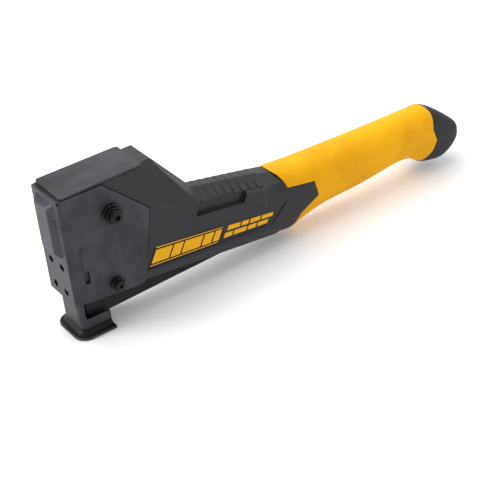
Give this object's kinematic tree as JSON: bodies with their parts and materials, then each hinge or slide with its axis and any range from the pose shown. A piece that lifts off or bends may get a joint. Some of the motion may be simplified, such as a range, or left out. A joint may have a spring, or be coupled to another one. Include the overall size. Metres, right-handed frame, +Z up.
{
  "type": "hammer tacker",
  "caption": "Hammer tacker with a flat steel striking cap, folded steel head shroud, sprung swinging staple magazine with a flanged foot, and a long rubber-gripped handle",
  "frame": {"origin": "middle of the front bar of the foot's flat underside", "axes": "+X runs back along the handle, +Z up from the foot to the striking cap, +Y to the far side"},
  "size_m": [0.3529, 0.0516, 0.1146],
  "materials": {
    "shroud_steel": "black satin, folded sheet",
    "cap_steel": "grey, brushed lengthwise",
    "fibre_composite": "dark blue-grey, fine grain",
    "yellow_rubber": "warm yellow, matt",
    "black_rubber": "black, matt",
    "hardened_steel": "bare hardened steel",
    "fastener_steel": "black oxide",
    "bumper_rubber": "black",
    "spring_steel": "bright spring wire",
    "magazine_steel": "black, low sheen",
    "nose_steel": "black satin",
    "staple_wire": "zinc plated",
    "pusher_plastic": "black"
  },
  "bodies": {
    "head_and_handle": {"head_shroud": "shroud_steel", "strike_cap": "cap_steel", "composite_body": "fibre_composite", "rubber_grip": "yellow_rubber", "butt_cap": "black_rubber", "driver_blade": "hardened_steel", "blade_screw": "fastener_steel", "upper_washer_near": "fastener_steel", "upper_spacer_near": "fastener_steel", "upper_washer_far": "fastener_steel", "upper_bolt": "fastener_steel", "upper_nut": "fastener_steel", "lower_washer_near": "fastener_steel", "lower_screw_near": "fastener_steel", "lower_washer_far": "fastener_steel", "lower_screw_far": "fastener_steel", "pivot_pin": "hardened_steel", "pivot_plug": "black_rubber", "stop_bumper": "bumper_rubber", "return_spring": "spring_steel"},
    "magazine": {"magazine_channel": "magazine_steel", "staple_rail": "hardened_steel", "rail_pin": "hardened_steel", "travel_stop_pin": "hardened_steel", "staple_strip": "staple_wire", "pusher_rod": "hardened_steel", "spring_anchor": "hardened_steel", "pusher_spring": "spring_steel", "pivot_bush": "hardened_steel", "spring_seat": "hardened_steel", "nose_skirt": "nose_steel", "nose_guide": "hardened_steel", "nose_rivet": "nose_steel"},
    "pusher": {"staple_pusher": "pusher_plastic"}
  },
  "joints": [
    {"name": "magazine_swing", "type": "hinge", "parent": "head_and_handle", "child": "magazine", "pos_m": [0.1536, 0, 0.0206], "axis": [0, 1, 0], "range_deg": [0, 8.2], "stiffness_Nm_per_rad": 14, "springref_deg": -8.59, "deforming": ["return_spring"]},
    {"name": "pusher_slide", "type": "slide", "parent": "magazine", "child": "pusher", "axis": [0.9996, 0, 0.0279], "range_m": [0, 0.036], "stiffness_N_per_m": 120, "springref_m": -0.06, "deforming": ["pusher_spring"]}
  ]
}
